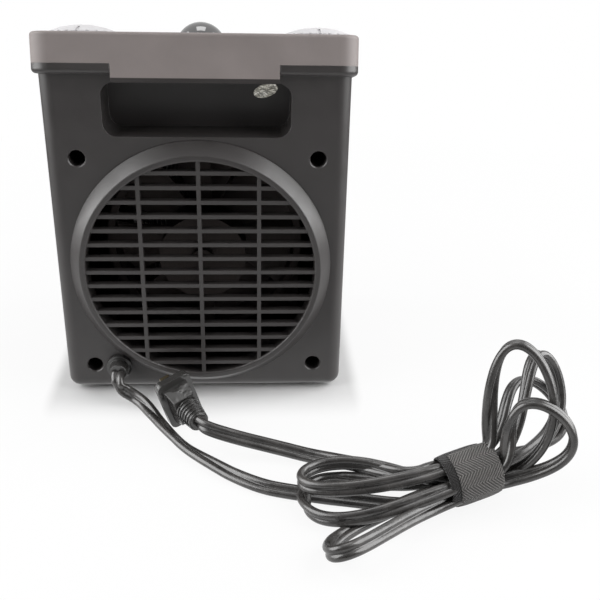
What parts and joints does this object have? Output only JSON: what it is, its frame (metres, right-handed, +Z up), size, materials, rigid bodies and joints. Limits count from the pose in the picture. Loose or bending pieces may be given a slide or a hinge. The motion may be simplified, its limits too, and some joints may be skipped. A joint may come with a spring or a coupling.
{
  "type": "ceramic fan heater",
  "caption": "Box-shaped ceramic fan heater with leaning control cap, carrying recess, round intake grille and a flat cord tied in a hank.",
  "frame": {"origin": "on the floor under the middle of the housing", "axes": "+Z up, +Y towards the intake back, -Y the warm-air front"},
  "size_m": [0.3169, 0.3335, 0.2303],
  "materials": {
    "charcoal_plastic": "satin charcoal",
    "grey_plastic": "satin warm grey",
    "silver_plastic": "pale silver grey",
    "dark_lens": "glossy smoked",
    "black_gloss": "glossy black",
    "cord_vinyl": "soft glossy vinyl",
    "strap_fabric": "brushed hook-and-loop",
    "foot_rubber": "matt",
    "zinc_steel": "zinc plated",
    "foil": "bright foil",
    "blade_brass": "bare",
    "duct_steel": "galvanised",
    "fin_aluminium": "bare",
    "element_ceramic": "unglazed",
    "heat_plastic": "heat-resistant",
    "core_iron": "varnished",
    "bearing_bronze": "sintered",
    "lamp_glass": "small lamp",
    "wire_plastic": "insulated"
  },
  "bodies": {
    "housing": {"rear_housing": "charcoal_plastic", "front_housing": "charcoal_plastic", "top_cap": "grey_plastic", "rear_grille": "charcoal_plastic", "front_grille": "charcoal_plastic", "front_bezel": "charcoal_plastic", "rubber_feet": "foot_rubber", "housing_screws": "zinc_steel", "cord_bushing": "black_gloss", "recess_foil": "foil", "air_duct": "duct_steel", "element_frame": "heat_plastic", "ceramic_bars": "element_ceramic", "fin_packs": "fin_aluminium", "element_lugs": "zinc_steel", "fan_shroud": "heat_plastic", "motor_bracket": "duct_steel", "motor_can": "duct_steel", "motor_bearings": "bearing_bronze", "stator_core": "core_iron", "thermostat_body": "heat_plastic", "selector_body": "heat_plastic", "control_nuts": "zinc_steel", "pilot_lens": "dark_lens", "pilot_lamp": "lamp_glass", "thermal_cutout": "heat_plastic", "tip_switch": "heat_plastic", "inner_wires": "wire_plastic", "cord_lead": "cord_vinyl", "cord_hank": "cord_vinyl", "cord_tail": "cord_vinyl", "cord_strap": "strap_fabric", "plug_body": "black_gloss", "plug_blades": "blade_brass"},
    "thermostat_dial": {"thermostat_knob": "silver_plastic", "thermostat_spindle": "zinc_steel"},
    "selector_dial": {"selector_knob": "silver_plastic", "selector_spindle": "zinc_steel"},
    "fan": {"fan_impeller": "heat_plastic", "motor_shaft": "zinc_steel", "motor_rotor": "core_iron"},
    "plunger": {"tip_plunger": "heat_plastic"}
  },
  "joints": [
    {"name": "thermostat_turn", "type": "hinge", "parent": "housing", "child": "thermostat_dial", "pos_m": [-0.07305, 0.00809, 0.217], "axis": [0, -0.2079, 0.9781], "range_deg": [-270, 0]},
    {"name": "selector_turn", "type": "hinge", "parent": "housing", "child": "selector_dial", "pos_m": [0.07305, 0.00809, 0.217], "axis": [0, -0.2079, 0.9781], "range_deg": [-135, 0]},
    {"name": "fan_spin", "type": "hinge", "parent": "housing", "child": "fan", "pos_m": [0, 0.01, 0.0894], "axis": [0, 1, 0], "continuous": true},
    {"name": "tip_drop", "type": "slide", "parent": "housing", "child": "plunger", "axis": [0, 0, -1], "range_m": [0, 0.004]}
  ]
}
